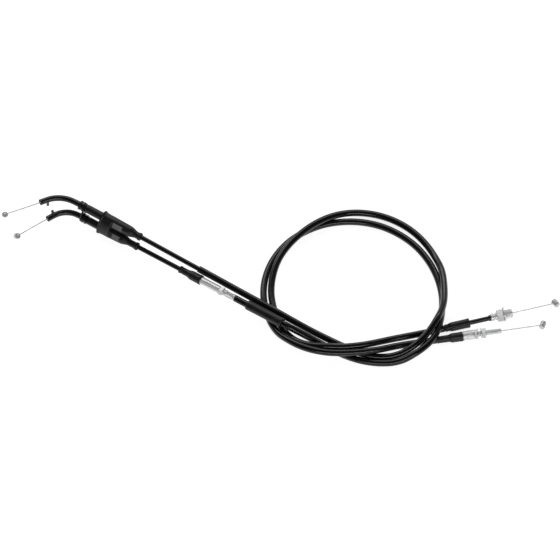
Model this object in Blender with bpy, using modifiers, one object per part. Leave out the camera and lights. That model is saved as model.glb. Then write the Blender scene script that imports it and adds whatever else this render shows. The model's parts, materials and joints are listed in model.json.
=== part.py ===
"""A motorcycle's pair of throttle cables, coiled once and lying on a flat surface.

The pull cable opens the throttle and carries both adjusters; the return cable closes it.
Lengths are in millimetres and angles in degrees; MM turns them into Blender's metres.
"""

import math

import bmesh
import bpy
from mathutils import Matrix, Quaternion, Vector

MM = 0.001
UP = Vector((0, 0, 1))
GAP = 0.3                            # free space between neighbouring pieces
COIL_CENTRE = (73.5, -3.9, 0.0)      # from the middle of the object's footprint

# ---- radii of one cable, from the inside out ----
WIRE_R = 0.75
LINER_R, LINER_WALL = 1.35, 0.35
CONDUIT_R, CONDUIT_WALL = 2.45, 0.65
JACKET_R, JACKET_WALL = 3.45, 0.6
CONDUIT_BORE = CONDUIT_R + GAP       # bore of anything the conduit passes through
WIRE_BORE = 1.3
LONG_SIDES, INNER_SIDES = 2, 1       # bevel resolutions: 8 sides outside, 6 inside
MAX_TURN = 12.0                      # a route bends at most this much between two points

# ---- throttle end: both cables run straight and parallel through the twin boot ----
BOOT_MOUTH = Vector((-253.0, 74.0, 12.0))
BOOT_HEADING = -33.0
BOOT_TILT = 60.0                     # the return cable lies this much above the pull cable's level
CABLE_SPACING = 11.4
BOOT_LENGTH = 45.3
BODY_LENGTH = 12.5                   # the boot's wide oval part
BODY_HALF_WIDTH, BODY_HALF_HEIGHT = 12.0, 7.6
BODY_TAPER = 0.9                     # size of the body's far end against its mouth
LIP_START, LIP_END, LIP_EXTRA = -0.4, 1.6, 0.6
SLEEVE_ROOT_R, SLEEVE_R = 6.0, 5.5   # its two sleeves, beside the body and where they narrow
RETURN_SLEEVE_END, PULL_SLEEVE_END = 31.0, 26.0
NECK_R, NECK_BEAD_R = 3.5, 4.1
BOOT_WALL = 1.2

ELBOW_R, ELBOW_WALL = 3.05, 0.8
PEG_R, PEG_LENGTH = 1.35, 4.4
RETURN_PEG_FROM_MOUTH, PULL_PEG_FROM_MOUTH = 8.0, 7.2
PLATE_START, PLATE_THICKNESS, PLATE_END_R = -22.1, 1.4, 4.6
COLLAR_R, COLLAR_GROOVE_R = 4.8, 3.9
RETURN_COLLAR = (-27.6, -22.4)       # distances along the boot's axis, from its mouth
PULL_COLLAR = (-20.4, -15.2)
FERRULE_END = 4.0                    # inside the boot
RETURN_FERRULE_R, PULL_FERRULE_R, FERRULE_CHAMFER = 4.3, 4.0, 0.3
ELBOW_END = -9.0                     # inside the ferrules
CONDUIT_START = ELBOW_END + GAP

# elbow: where its bend starts, bend radius, bend angle, straight length at the mouth
ELBOW_STEPS = 6
RETURN_ELBOW = (-34.0, 30.0, 58.0, 6.5)
PULL_ELBOW = (-25.2, 23.0, 66.0, 8.0)

THROTTLE_NIPPLE_R, THROTTLE_NIPPLE_LENGTH, THROTTLE_NIPPLE_LEAN = 3.0, 6.4, 55.0
RETURN_THROTTLE_NIPPLE = Vector((-349.8, 83.0, 12.0))
PULL_THROTTLE_NIPPLE = Vector((-337.7, 61.6, 5.0))

# ---- tails: straight lines from just beyond the boot to the far side of the coil's crossing ----
TAIL_FROM_MOUTH = 50.0
RETURN_TAIL_END = Vector((-80.0, -33.2, 10.7))
PULL_TAIL_END = Vector((-71.0, -51.4, 13.6))

# ---- coil: angle about its centre, distance from the centre, height ----
RETURN_COIL = (
    (-80, 84.7, 3.45), (-72, 89.1, 3.7), (-64, 93.6, 5.6), (-54, 96.6, 10.5), (-45, 96.8, 13.8),
    (-38, 96.5, 16.6), (-30, 95.6, 18.9), (-20, 93.6, 15.1), (-10, 90.8, 12.0), (0, 89.3, 10.1),
    (12, 88.8, 7.6), (25, 88.3, 3.9), (45, 89.2, 3.45), (70, 90.8, 3.45), (88, 90.4, 4.5),
    (100, 87.6, 7.5), (111, 84.0, 10.7), (126, 81.8, 10.8), (140, 81.3, 9.3), (155, 82.0, 8.5),
    (168, 82.5, 6.5), (180, 83.4, 4.2), (195, 84.4, 3.45), (212, 87.2, 3.45), (226, 88.8, 5.2),
    (238, 86.8, 8.6), (248, 82.9, 11.2), (258, 79.7, 11.4), (267, 77.3, 11.3),
)
PULL_COIL = (
    (-80, 92.6, 3.45), (-72, 97.1, 3.7), (-64, 101.5, 5.3), (-54, 104.2, 9.9), (-45, 104.2, 11.3),
    (-38, 102.6, 11.7), (-30, 98.2, 11.5), (-20, 92.6, 7.3), (-10, 88.9, 4.1), (0, 85.6, 3.45),
    (15, 81.9, 3.45), (45, 78.7, 3.45), (75, 79.2, 3.45), (110, 82.3, 3.45), (140, 86.2, 3.45),
    (165, 89.2, 3.45), (185, 91.6, 3.45), (204, 93.6, 3.45), (214, 95.1, 4.7), (226, 95.0, 9.3),
    (238, 93.4, 11.7), (248, 90.5, 11.8), (258, 87.5, 12.0), (268, 85.2, 11.9),
)
# joins of the coil to its tails and to its straight ends: positions from the coil's centre
RETURN_JOIN_IN = ((-50.5, -51.2, 7.7), (-32.5, -60.3, 4.5), (-14.5, -70.2, 3.45), (1.5, -77.9, 3.45))
RETURN_JOIN_OUT = ((25.5, -68.3, 7.1), (45.5, -61.8, 4.7), (65.5, -56.0, 3.8))
PULL_JOIN_IN = ((-54.5, -59.0, 9.0), (-34.5, -68.6, 4.3), (-20.5, -76.8, 3.45), (-6.0, -84.7, 3.45))
PULL_JOIN_OUT = ((25.5, -79.8, 9.7), (45.5, -72.4, 6.0), (63.5, -67.6, 4.1))

# ---- carburettor ends: straight lines, rising a little so that the fittings clear the table ----
RISE = 0.068
RETURN_END_START, RETURN_END_HEADING = Vector((82.0, -52.4, 3.9)), 12.9
PULL_END_START, PULL_END_HEADING = Vector((77.6, -65.2, 3.9)), 7.2

# in-line adjuster: distances along the pull cable's tail
ADJUSTER_BOOT = (45.8, 71.9)
BARREL = (66.0, 94.0)
BARREL_R, STUD_R = 4.0, 2.8
LOCK_NUT = (94.4, 98.4)
LOCK_NUT_FLATS = 8.6
STUD_START, TAIL_START, TAIL_END = 80.0, 100.2, 112.2
TAIL_R = 3.45
COVER = (127.2, 169.8)
COVER_R, COVER_BORE = 4.95, 3.95

# where the jackets start, along each tail
RETURN_JACKET_START = 63.6
PULL_JACKET_START = TAIL_END + GAP

# carburettor end of the return cable: distances along its end line
RETURN_BOOT = (8.4, 33.8)
RETURN_CAP = (53.4, 55.4)
RETURN_FERRULE = (55.7, 78.0)
UNION_NUT = (62.1, 68.5)
UNION_NUT_FLATS = 12.2
UNION_NOSE_END, UNION_NOSE_R = 76.6, 4.9
WASHER = (68.8, 70.1)
WASHER_R = 8.2
RETURN_CARB_NIPPLE_AT = 122.2

# carburettor end of the pull cable: distances along its end line
PULL_BOOT = (4.6, 31.0)
STUD_BODY = (31.3, 42.6)
STUD_BODY_R, ROD_R, ROD_END = 5.0, 2.8, 69.9
INNER_NUT = (42.9, 45.3)
INNER_WASHER = (45.6, 46.6)
OUTER_WASHER = (48.8, 49.8)          # the bracket goes between the two washers
OUTER_NUT = (50.1, 54.3)
CARB_NUT_FLATS, CARB_WASHER_R = 9.8, 5.7
PULL_CARB_NIPPLE_AT = 111.5
CARB_NIPPLE_R, CARB_NIPPLE_LENGTH = 3.0, 7.4
RETURN_NIPPLE_LEAN, PULL_NIPPLE_LEAN = 24.0, -24.0

MATERIALS = {
    # name: colour, roughness, metallic
    "black_vinyl": ((0.012, 0.012, 0.013), 0.25, 0.0),
    "black_rubber": ((0.02, 0.02, 0.021), 0.6, 0.0),
    "black_paint": ((0.015, 0.015, 0.016), 0.35, 0.4),
    "liner_plastic": ((0.85, 0.85, 0.82), 0.4, 0.0),
    "steel_wire": ((0.62, 0.62, 0.6), 0.35, 1.0),
    "nipple_zinc": ((0.5, 0.49, 0.47), 0.45, 1.0),
    "plated_steel": ((0.72, 0.73, 0.74), 0.22, 1.0),
}


# ---------------------------------------------------------------- scene set-up

def clear_scene():
    for old in list(bpy.data.objects):
        bpy.data.objects.remove(old, do_unlink=True)


def make_collection(name):
    collection = bpy.data.collections.new(name)
    bpy.context.scene.collection.children.link(collection)
    return collection


def make_material(name):
    colour, roughness, metallic = MATERIALS[name]
    material = bpy.data.materials.new(name)
    material.use_nodes = True
    shader = material.node_tree.nodes["Principled BSDF"]
    shader.inputs["Base Color"].default_value = (*colour, 1.0)
    shader.inputs["Roughness"].default_value = roughness
    shader.inputs["Metallic"].default_value = metallic
    return material


clear_scene()
PARTS = make_collection("throttle_cable_pair")
CUTTERS = make_collection("cutters")
FINISH = {name: make_material(name) for name in MATERIALS}
ORIGIN = bpy.data.objects.new("coil_centre", None)
ORIGIN.location = Vector(COIL_CENTRE) * MM
PARTS.objects.link(ORIGIN)


# ---------------------------------------------------------------- lines and routes

class Line:
    """A straight axis that pieces are placed along, by distance from its start."""

    def __init__(self, start, direction, across=None):
        self.start = Vector(start)
        self.direction = Vector(direction).normalized()
        self.across = across or UP.cross(self.direction).normalized()

    def at(self, distance):
        return self.start + self.direction * distance

    def rotation(self):
        """Turns local Z onto the line and local Y across it (level, if nothing else was asked)."""
        third = self.across.cross(self.direction)
        return Matrix((third, self.across, self.direction)).transposed().to_quaternion()


def heading_vector(angle, rise=0.0):
    return Vector((math.cos(math.radians(angle)), math.sin(math.radians(angle)), rise))


def coil_point(angle, radius, height):
    return Vector((
        radius * math.cos(math.radians(angle)),
        radius * math.sin(math.radians(angle)),
        height,
    ))


def smooth_curve(points, first_direction, last_direction, samples=20):
    """A cubic through the points that leaves and arrives along the given directions."""
    chords = [(b - a).length for a, b in zip(points, points[1:])]
    slopes = [Vector(first_direction).normalized()]
    for i in range(1, len(points) - 1):
        before = (points[i] - points[i - 1]) / chords[i - 1]
        after = (points[i + 1] - points[i]) / chords[i]
        share = chords[i - 1] / (chords[i - 1] + chords[i])
        slopes.append(before.lerp(after, share))
    slopes.append(Vector(last_direction).normalized())
    curve = [points[0]]
    for i, chord in enumerate(chords):
        for step in range(1, samples + 1):
            t = step / samples
            curve.append(
                points[i] * (2 * t**3 - 3 * t**2 + 1)
                + slopes[i] * chord * (t**3 - 2 * t**2 + t)
                + points[i + 1] * (3 * t**2 - 2 * t**3)
                + slopes[i + 1] * chord * (t**3 - t**2)
            )
    return curve


def thin_out(points, max_turn=MAX_TURN):
    """Keeps a point only where the route has turned by about max_turn since the last one kept."""
    kept, turned_by = [points[0]], 0.0
    for before, here, after in zip(points, points[1:], points[2:]):
        turned_by += math.degrees((here - before).angle(after - here))
        if turned_by >= max_turn:
            kept.append(here)
            turned_by = 0.0
    return kept + [points[-1]]


def cut_route(points, start, end):
    """The stretch of a route between two distances from its first point."""
    stretch, walked = [], 0.0
    for a, b in zip(points, points[1:]):
        length = (b - a).length
        low, high = max(start - walked, 0.0), min(end - walked, length)
        if low < high:
            if not stretch:
                stretch.append(a.lerp(b, low / length))
            stretch.append(a.lerp(b, high / length))
        walked += length
    return stretch


def route_length(points):
    return sum((b - a).length for a, b in zip(points, points[1:]))


AHEAD = heading_vector(BOOT_HEADING)
LEVEL_ACROSS = heading_vector(BOOT_HEADING + 90)
TILT = math.radians(BOOT_TILT)
ACROSS = LEVEL_ACROSS * math.cos(TILT) + UP * math.sin(TILT)      # from the pull cable to the return
BOOT_LINE = Line(BOOT_MOUTH, AHEAD, ACROSS)
RETURN_BOOT_LINE = Line(BOOT_MOUTH + ACROSS * CABLE_SPACING / 2, AHEAD, ACROSS)
PULL_BOOT_LINE = Line(BOOT_MOUTH - ACROSS * CABLE_SPACING / 2, AHEAD, ACROSS)
PULL_TAIL_START = PULL_BOOT_LINE.at(TAIL_FROM_MOUTH)
TAIL_LINE = Line(PULL_TAIL_START, PULL_TAIL_END - PULL_TAIL_START)
RETURN_END = Line(RETURN_END_START, heading_vector(RETURN_END_HEADING, RISE))
PULL_END = Line(PULL_END_START, heading_vector(PULL_END_HEADING, RISE))


def cable_route(boot_line, tail_end, join_in, coil, join_out, end_line, end_distance):
    """Centre-line of a conduit, from inside the throttle-end ferrule to the end fitting."""
    tail_start = boot_line.at(TAIL_FROM_MOUTH)
    bend = [tail_end]
    bend += [Vector(point) for point in join_in]
    bend += [coil_point(*waypoint) for waypoint in coil]
    bend += [Vector(point) for point in join_out]
    bend.append(end_line.start)
    curve = smooth_curve(bend, tail_end - tail_start, end_line.direction)
    return [boot_line.at(CONDUIT_START), tail_start] + thin_out(curve) + [end_line.at(end_distance)]


RETURN_CONDUIT_END = RETURN_FERRULE[0] + 5.0
PULL_CONDUIT_END = STUD_BODY[1] - 3.0
RETURN_ROUTE = cable_route(
    RETURN_BOOT_LINE, RETURN_TAIL_END, RETURN_JOIN_IN, RETURN_COIL, RETURN_JOIN_OUT,
    RETURN_END, RETURN_CONDUIT_END,
)
PULL_ROUTE = cable_route(
    PULL_BOOT_LINE, PULL_TAIL_END, PULL_JOIN_IN, PULL_COIL, PULL_JOIN_OUT,
    PULL_END, PULL_CONDUIT_END,
)


# ---------------------------------------------------------------- building tools

def keep(obj, name, material):
    """Names a finished piece, gives it its material and hangs it on the coil's centre."""
    obj.name = name
    obj.data.name = name
    obj.data.materials.clear()
    obj.data.materials.append(FINISH[material])
    for collection in list(obj.users_collection):
        collection.objects.unlink(obj)
    PARTS.objects.link(obj)
    obj.parent = ORIGIN
    return obj


def put_on(obj, line, distance):
    obj.location = line.at(distance) * MM
    obj.rotation_mode = "QUATERNION"
    obj.rotation_quaternion = line.rotation()


def as_cutter(obj, name):
    """A helper solid that a Boolean reads; it isn't a piece of the object."""
    obj.name = name
    for collection in list(obj.users_collection):
        collection.objects.unlink(obj)
    CUTTERS.objects.link(obj)
    obj.hide_render = True
    obj.display_type = "WIRE"
    obj.parent = ORIGIN
    return obj


def combine(obj, other, operation):
    modifier = obj.modifiers.new(f"{operation.lower()}_{other.name}", "BOOLEAN")
    modifier.operation = operation
    modifier.solver = "EXACT"
    modifier.object = other


def shade_round(mesh, angle=40.0):
    mesh.shade_smooth()
    mesh.set_sharp_from_angle(angle=math.radians(angle))


def poly_curve(points, radius, resolution, caps):
    """A POLY spline tube whose object sits at the first point."""
    curve = bpy.data.curves.new("tube", "CURVE")
    curve.dimensions = "3D"
    curve.twist_mode = "Z_UP"
    curve.bevel_depth = radius * MM
    curve.bevel_resolution = resolution
    curve.use_fill_caps = caps
    spline = curve.splines.new("POLY")
    spline.points.add(len(points) - 1)
    for slot, point in zip(spline.points, points):
        slot.co = (*((point - points[0]) * MM), 1.0)
    obj = bpy.data.objects.new("tube", curve)
    obj.location = points[0] * MM
    PARTS.objects.link(obj)
    return obj


def wire(name, points, material, radius=WIRE_R):
    return keep(poly_curve(points, radius, INNER_SIDES, True), name, material)


def hollow_tube(name, points, radius, wall, material, resolution=LONG_SIDES):
    """An open tube surface along the points, given its wall by Solidify."""
    curve_object = poly_curve(points, radius, resolution, False)
    bpy.context.view_layer.update()
    evaluated = curve_object.evaluated_get(bpy.context.evaluated_depsgraph_get())
    mesh = bpy.data.meshes.new_from_object(evaluated)
    tube = bpy.data.objects.new(name, mesh)
    tube.location = curve_object.location
    bpy.data.objects.remove(curve_object, do_unlink=True)
    PARTS.objects.link(tube)
    shade_round(mesh)
    solid = tube.modifiers.new("wall", "SOLIDIFY")
    solid.thickness = wall * MM
    solid.offset = -1.0
    solid.use_even_offset = True
    return keep(tube, name, material)


def turned(name, outer, inner, line, material, steps=16):
    """A hollow turned piece. outer and inner are (distance along the line, radius) pairs, in order."""
    start = outer[0][0]
    loop = [(radius, along - start) for along, radius in reversed(outer)]
    loop += [(radius, along - start) for along, radius in inner]
    mesh = bpy.data.meshes.new(name)
    shape = bmesh.new()
    ring = [shape.verts.new((radius * MM, 0.0, along * MM)) for radius, along in loop]
    for a, b in zip(ring, ring[1:] + ring[:1]):
        shape.edges.new((a, b))
    shape.to_mesh(mesh)
    shape.free()
    obj = bpy.data.objects.new(name, mesh)
    PARTS.objects.link(obj)
    screw = obj.modifiers.new("turn", "SCREW")
    screw.axis = "Z"
    screw.angle = math.tau
    screw.steps = steps
    screw.render_steps = steps
    screw.use_merge_vertices = True
    screw.merge_threshold = 0.00001
    screw.use_smooth_shade = True
    put_on(obj, line, start)
    return keep(obj, name, material)


def ring(name, start, end, radius, bore, line, material):
    return turned(name, [(start, radius), (end, radius)], [(start, bore), (end, bore)], line, material)


def solid_cylinder(radius, length, sides=16):
    bpy.ops.mesh.primitive_cylinder_add(vertices=sides, radius=radius * MM, depth=length * MM)
    obj = bpy.context.active_object
    shade_round(obj.data)
    return obj


def circle_corners(radius, sides, centre_y=0.0):
    angles = [math.tau * i / sides for i in range(sides)]
    return [(radius * math.cos(angle), centre_y + radius * math.sin(angle)) for angle in angles]


def closed_spline(curve, corners):
    spline = curve.splines.new("POLY")
    spline.points.add(len(corners) - 1)
    for slot, (x, y) in zip(spline.points, corners):
        slot.co = (x * MM, y * MM, 0.0, 1.0)
    spline.use_cyclic_u = True


def hex_nut(name, start, end, flats, bore, line, material):
    """A hexagon with a round hole, extruded along the line."""
    curve = bpy.data.curves.new(name, "CURVE")
    curve.dimensions = "2D"
    curve.fill_mode = "BOTH"
    curve.extrude = (end - start) / 2 * MM
    closed_spline(curve, circle_corners(flats / math.sqrt(3), 6))
    closed_spline(curve, circle_corners(bore, 16))
    obj = bpy.data.objects.new(name, curve)
    PARTS.objects.link(obj)
    put_on(obj, line, (start + end) / 2)
    return keep(obj, name, material)


# ---------------------------------------------------------------- throttle end

def elbow_points(boot_line, elbow):
    """Centre-line of an elbow, from its mouth to its end inside the ferrule."""
    bend_start, radius, angle, mouth_length = elbow
    inward = -LEVEL_ACROSS
    centre = boot_line.at(bend_start) + inward * radius
    arc = []
    for step in range(ELBOW_STEPS + 1):
        turn = math.radians(angle * step / ELBOW_STEPS)
        arc.append(centre - inward * radius * math.cos(turn) - AHEAD * radius * math.sin(turn))
    out = -AHEAD * math.cos(math.radians(angle)) + inward * math.sin(math.radians(angle))
    return [arc[-1] + out * mouth_length] + arc[::-1] + [boot_line.at(ELBOW_END)], out


def make_elbow(name, boot_line, elbow, peg_from_mouth, peg_side):
    """A bent tube with a peg near its mouth, which leans towards the other elbow."""
    points, out = elbow_points(boot_line, elbow)
    tube = hollow_tube(name, points, ELBOW_R, ELBOW_WALL, "black_paint")
    lean = (ACROSS - out * ACROSS.dot(out)).normalized() * peg_side
    root = ELBOW_R - ELBOW_WALL / 2
    length = PEG_LENGTH + ELBOW_R - root
    peg = as_cutter(solid_cylinder(PEG_R, length, 10), name + "_peg")
    peg.location = (points[0] - out * peg_from_mouth + lean * (root + length / 2)) * MM
    peg.rotation_mode = "QUATERNION"
    peg.rotation_quaternion = lean.to_track_quat("Z", "Y")
    combine(tube, peg, "UNION")
    # the elbow swivels about its cable's axis, so its origin goes there
    shift = boot_line.at(elbow[0]) * MM - tube.location
    tube.data.transform(Matrix.Translation(-shift))
    tube.location += shift
    return points


def make_throttle_wire(side, points, nipple_at):
    """The wire through the elbow and on to its nipple, whose axis leans up from level."""
    mouth = points[0]
    along = (nipple_at - mouth).normalized()
    end = nipple_at - along * (THROTTLE_NIPPLE_R + GAP)
    inside = [points[-1].lerp(points[-2], 0.02)] + points[-2::-1]
    wire(f"{side}_throttle_wire", inside + [end], "steel_wire")
    nipple = solid_cylinder(THROTTLE_NIPPLE_R, THROTTLE_NIPPLE_LENGTH)
    level = UP.cross(along).normalized()
    axis = Quaternion(along, math.radians(THROTTLE_NIPPLE_LEAN)) @ level
    nipple.location = nipple_at * MM
    nipple.rotation_mode = "QUATERNION"
    nipple.rotation_quaternion = axis.to_track_quat("Z", "Y")
    keep(nipple, f"{side}_throttle_nipple", "nipple_zinc")


def make_collar(name, span, line):
    """Two flanges with a groove between them, around the elbow."""
    start, end = span
    edge = (end - start) * 0.36
    outer = [
        (start, COLLAR_R), (start + edge, COLLAR_R), (start + edge, COLLAR_GROOVE_R),
        (end - edge, COLLAR_GROOVE_R), (end - edge, COLLAR_R), (end, COLLAR_R),
    ]
    bore = ELBOW_R + GAP
    turned(name, outer, [(start, bore), (end, bore)], line, "black_paint")


def make_throttle_ferrule(name, start, radius, line):
    """Joins an elbow to its conduit; the conduit's half of the bore is a little tighter."""
    step = ELBOW_END + GAP / 2
    outer = [
        (start, radius - FERRULE_CHAMFER), (start + 1.0, radius), (FERRULE_END - 1.0, radius),
        (FERRULE_END, radius - FERRULE_CHAMFER),
    ]
    inner = [
        (start, ELBOW_R + GAP), (step, ELBOW_R + GAP), (step, CONDUIT_BORE),
        (FERRULE_END, CONDUIT_BORE),
    ]
    turned(name, outer, inner, line, "black_rubber")


def make_retainer_plate():
    """A flat plate with two holes that keeps both elbows together."""
    curve = bpy.data.curves.new("retainer_plate", "CURVE")
    curve.dimensions = "2D"
    curve.fill_mode = "BOTH"
    curve.extrude = PLATE_THICKNESS / 2 * MM
    half = CABLE_SPACING / 2
    outline = []
    for side in (1, -1):
        for step in range(9):
            angle = math.radians(-90 + 180 * step / 8)
            outline.append(
                (side * PLATE_END_R * math.sin(angle), side * (half + PLATE_END_R * math.cos(angle)))
            )
    closed_spline(curve, outline)
    for side in (1, -1):
        closed_spline(curve, circle_corners(ELBOW_R + GAP, 16, centre_y=side * half))
    obj = bpy.data.objects.new("retainer_plate", curve)
    PARTS.objects.link(obj)
    put_on(obj, BOOT_LINE, PLATE_START + PLATE_THICKNESS / 2)
    keep(obj, "retainer_plate", "black_paint")


def oval_block(half_width, half_height, start, end, far_scale, name):
    """An oval frustum on the boot's axis."""
    bpy.ops.mesh.primitive_cone_add(vertices=28, radius1=MM, radius2=far_scale * MM, depth=(end - start) * MM)
    obj = bpy.context.active_object
    obj.data.transform(Matrix.Diagonal((half_height, half_width, 1.0, 1.0)))
    put_on(obj, BOOT_LINE, (start + end) / 2)
    obj.name = name
    return obj


def boot_sleeve(line, sleeve_end, name):
    """One of the boot's two outlets, as a solid of revolution."""
    start = BODY_LENGTH - 7.0
    profile = [
        (start, SLEEVE_ROOT_R), (BODY_LENGTH, SLEEVE_ROOT_R), (sleeve_end, SLEEVE_R),
        (sleeve_end + 9.5, NECK_R + 0.2),
        (BOOT_LENGTH - 3.0, NECK_R), (BOOT_LENGTH - 2.4, NECK_BEAD_R), (BOOT_LENGTH, NECK_BEAD_R),
    ]
    closed = [(start, 0.0)] + profile + [(BOOT_LENGTH, 0.0)]
    mesh = bpy.data.meshes.new(name)
    shape = bmesh.new()
    verts = [shape.verts.new((r * MM, 0.0, (along - start) * MM)) for along, r in reversed(closed)]
    for a, b in zip(verts, verts[1:]):
        shape.edges.new((a, b))
    shape.to_mesh(mesh)
    shape.free()
    obj = bpy.data.objects.new(name, mesh)
    PARTS.objects.link(obj)
    screw = obj.modifiers.new("turn", "SCREW")
    screw.steps = 16
    screw.render_steps = 16
    screw.use_merge_vertices = True
    screw.merge_threshold = 0.00001
    put_on(obj, line, start)
    return as_cutter(obj, name)


def bore_cutter(line, start, end, radius, name):
    obj = solid_cylinder(radius, end - start)
    put_on(obj, line, (start + end) / 2)
    return as_cutter(obj, name)


def make_twin_boot():
    """Oval mouth over both ferrules, and a tapering outlet for each cable."""
    boot = oval_block(BODY_HALF_WIDTH, BODY_HALF_HEIGHT, 0.0, BODY_LENGTH, BODY_TAPER, "twin_boot")
    lip = oval_block(
        BODY_HALF_WIDTH + LIP_EXTRA, BODY_HALF_HEIGHT + LIP_EXTRA, LIP_START, LIP_END, 1.0, "boot_lip"
    )
    combine(boot, as_cutter(lip, "boot_lip"), "UNION")
    sleeves = (
        ("return", RETURN_BOOT_LINE, RETURN_SLEEVE_END), ("pull", PULL_BOOT_LINE, PULL_SLEEVE_END),
    )
    for side, line, sleeve_end in sleeves:
        combine(boot, boot_sleeve(line, sleeve_end, f"boot_{side}_sleeve"), "UNION")
    pocket = as_cutter(
        oval_block(
            BODY_HALF_WIDTH - BOOT_WALL, BODY_HALF_HEIGHT - BOOT_WALL,
            -2.0, BODY_LENGTH - BOOT_WALL, BODY_TAPER, "boot_pocket",
        ),
        "boot_pocket",
    )
    combine(boot, pocket, "DIFFERENCE")
    for side, line, sleeve_end in sleeves:
        wide = bore_cutter(line, 5.0, sleeve_end - 1.0, SLEEVE_R - 0.7, f"boot_{side}_wide_bore")
        narrow = bore_cutter(line, 5.0, BOOT_LENGTH + 5.0, CONDUIT_BORE, f"boot_{side}_bore")
        combine(boot, wide, "DIFFERENCE")
        combine(boot, narrow, "DIFFERENCE")
    keep(boot, "twin_boot", "black_rubber")


def make_throttle_end():
    return_points = make_elbow(
        "return_elbow", RETURN_BOOT_LINE, RETURN_ELBOW, RETURN_PEG_FROM_MOUTH, -1
    )
    pull_points = make_elbow("pull_elbow", PULL_BOOT_LINE, PULL_ELBOW, PULL_PEG_FROM_MOUTH, 1)
    make_throttle_wire("return", return_points, RETURN_THROTTLE_NIPPLE)
    make_throttle_wire("pull", pull_points, PULL_THROTTLE_NIPPLE)
    make_collar("return_elbow_collar", RETURN_COLLAR, RETURN_BOOT_LINE)
    make_collar("pull_elbow_collar", PULL_COLLAR, PULL_BOOT_LINE)
    plate_end = PLATE_START + PLATE_THICKNESS
    make_throttle_ferrule("return_throttle_ferrule", plate_end + GAP, RETURN_FERRULE_R, RETURN_BOOT_LINE)
    make_throttle_ferrule("pull_throttle_ferrule", PULL_COLLAR[1] + GAP, PULL_FERRULE_R, PULL_BOOT_LINE)
    make_retainer_plate()
    make_twin_boot()


# ---------------------------------------------------------------- cables

def tail_station(distance):
    """Distance along a route of a point on its tail."""
    return TAIL_FROM_MOUTH - CONDUIT_START + distance


def make_layers(side, part, route, start, end):
    """Conduit and liner along a stretch of a route."""
    stretch = cut_route(route, start, end)
    hollow_tube(f"{side}{part}_conduit", stretch, CONDUIT_R, CONDUIT_WALL, "black_vinyl")
    hollow_tube(f"{side}{part}_liner", stretch, LINER_R, LINER_WALL, "liner_plastic", INNER_SIDES)


def make_return_cable():
    length = route_length(RETURN_ROUTE)
    make_layers("return", "", RETURN_ROUTE, 0.0, length)
    core = cut_route(RETURN_ROUTE, GAP, length - GAP)
    wire("return_core_wire", core, "steel_wire")
    jacket_start = tail_station(RETURN_JACKET_START)
    jacket_end = length - RETURN_CONDUIT_END + RETURN_BOOT[0] - GAP
    jacket = cut_route(RETURN_ROUTE, jacket_start, jacket_end)
    hollow_tube("return_jacket", jacket, JACKET_R, JACKET_WALL, "black_vinyl")


def make_pull_cable():
    length = route_length(PULL_ROUTE)
    barrel_floor = tail_station(BARREL[0] + 10.0)
    tail_floor = tail_station(TAIL_START + 1.5)
    make_layers("pull", "_upper", PULL_ROUTE, 0.0, barrel_floor)
    make_layers("pull", "_lower", PULL_ROUTE, tail_floor, length)
    wire("pull_core_wire", cut_route(PULL_ROUTE, GAP, length - GAP), "steel_wire")
    jacket_start = tail_station(PULL_JACKET_START)
    jacket_end = length - PULL_CONDUIT_END + PULL_BOOT[0] - GAP
    jacket = cut_route(PULL_ROUTE, jacket_start, jacket_end)
    hollow_tube("pull_jacket", jacket, JACKET_R, JACKET_WALL, "black_vinyl")


# ---------------------------------------------------------------- in-line adjuster

def make_adjuster():
    start, end = ADJUSTER_BOOT
    turned(
        "adjuster_boot",
        [(start, 3.4), (start + 7, 3.5), (start + 14, 4.3), (start + 21, 5.0), (end, 5.0)],
        [(start, CONDUIT_BORE), (start + 13, CONDUIT_BORE), (start + 17, 4.35), (end, 4.35)],
        TAIL_LINE, "black_rubber",
    )
    seat = BARREL[0] + 10.0 + GAP
    turned(
        "adjuster_barrel",
        [(BARREL[0], BARREL_R - 0.4), (BARREL[0] + 1, BARREL_R), (BARREL[1], BARREL_R)],
        [
            (BARREL[0], CONDUIT_BORE), (seat, CONDUIT_BORE), (seat, WIRE_BORE + 0.3),
            (seat + 2, WIRE_BORE + 0.3), (seat + 2, STUD_R + GAP), (BARREL[1], STUD_R + GAP),
        ],
        TAIL_LINE, "plated_steel",
    )
    hex_nut("adjuster_lock_nut", *LOCK_NUT, LOCK_NUT_FLATS, STUD_R + GAP, TAIL_LINE, "plated_steel")
    turned(
        "adjuster_stud",
        [(STUD_START, STUD_R), (TAIL_START, STUD_R), (TAIL_START, TAIL_R), (TAIL_END, TAIL_R)],
        [
            (STUD_START, WIRE_BORE), (TAIL_START + 1.2, WIRE_BORE),
            (TAIL_START + 1.2, CONDUIT_BORE), (TAIL_END, CONDUIT_BORE),
        ],
        TAIL_LINE, "plated_steel",
    )
    start, end = COVER
    ring("adjuster_cover", start, end, COVER_R, COVER_BORE, TAIL_LINE, "black_rubber")


# ---------------------------------------------------------------- carburettor ends

def make_carb_wire(side, line, start, nipple_at, lean):
    """The bare wire from inside the fitting to its nipple, and the nipple across it."""
    slant = math.radians(abs(lean))
    clearance = CARB_NIPPLE_R / math.cos(slant) + WIRE_R * math.tan(slant) + GAP
    points = [line.at(start), line.at(nipple_at - clearance)]
    wire(f"{side}_carb_wire", points, "steel_wire")
    nipple = solid_cylinder(CARB_NIPPLE_R, CARB_NIPPLE_LENGTH)
    axis = Quaternion(UP, math.radians(lean)) @ line.across
    nipple.location = line.at(nipple_at) * MM
    nipple.rotation_mode = "QUATERNION"
    nipple.rotation_quaternion = axis.to_track_quat("Z", "Y")
    keep(nipple, f"{side}_carb_nipple", "nipple_zinc")


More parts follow.
